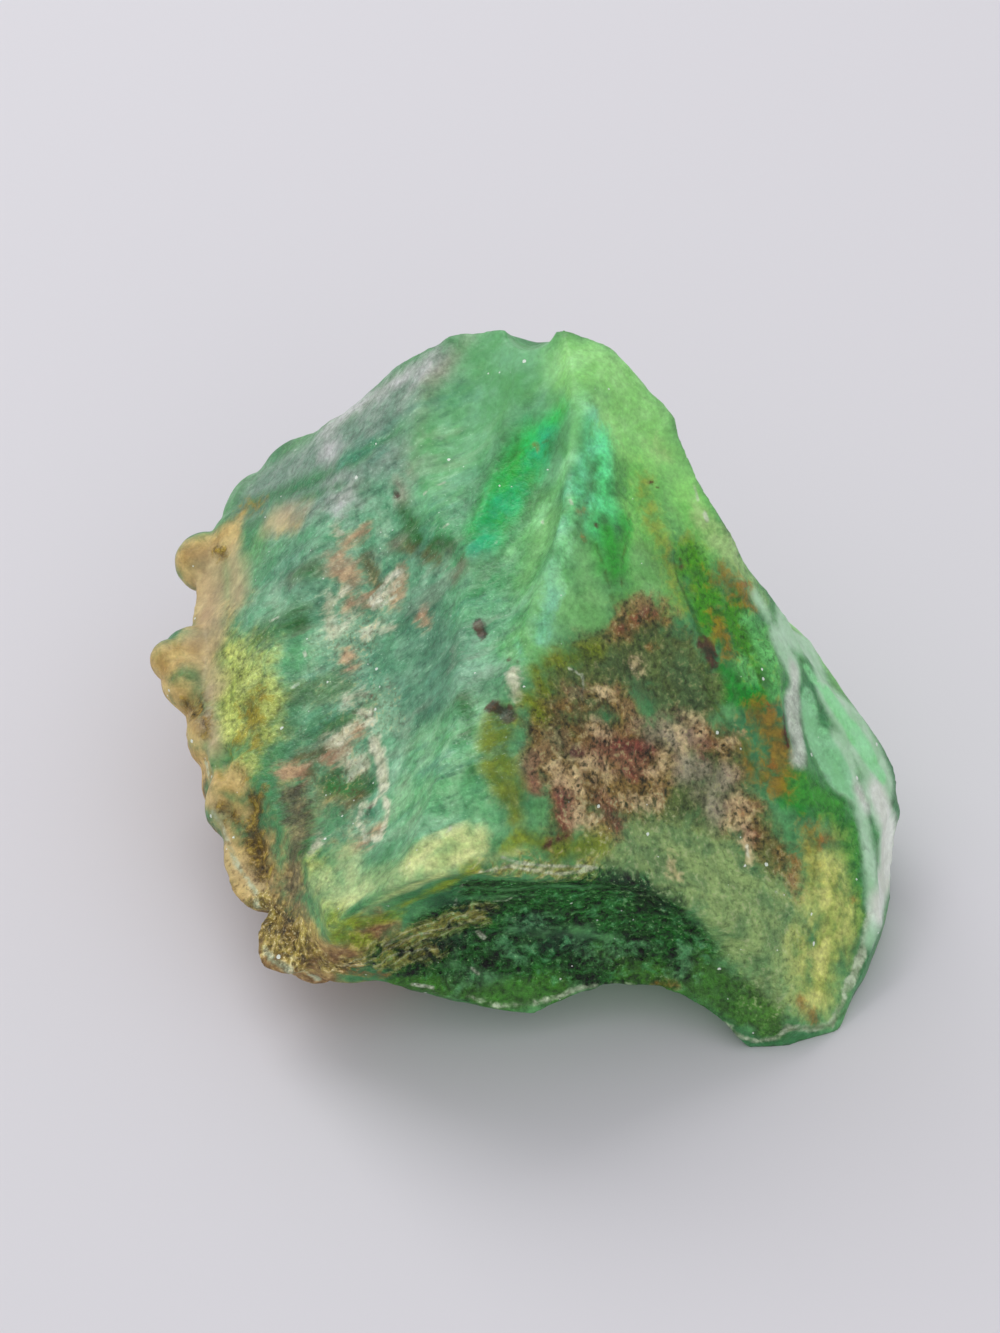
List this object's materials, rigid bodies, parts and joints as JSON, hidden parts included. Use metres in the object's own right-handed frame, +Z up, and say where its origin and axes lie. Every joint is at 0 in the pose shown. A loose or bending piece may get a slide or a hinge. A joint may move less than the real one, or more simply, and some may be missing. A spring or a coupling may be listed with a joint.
{
  "type": "raw chrysoprase",
  "caption": "Rough broken lump of green chrysoprase with conchoidal breaks, an undercut front lip and a knobbly brown rind down its left side, lying on one flat break.",
  "frame": {"origin": "middle of the bounding box's footprint, on the plane of the flat break that the stone lies on", "axes": "+Z up from the resting face, +X along the longest side towards the broken green end, away from the rind, +Y towards the back"},
  "size_m": [0.0272, 0.025, 0.0194],
  "materials": {
    "green_chalcedony": "waxy broken chalcedony, green to teal with brown iron-stained rind, opaque in bulk"
  },
  "bodies": {
    "root": {"raw_chrysoprase": "green_chalcedony"}
  },
  "joints": []
}
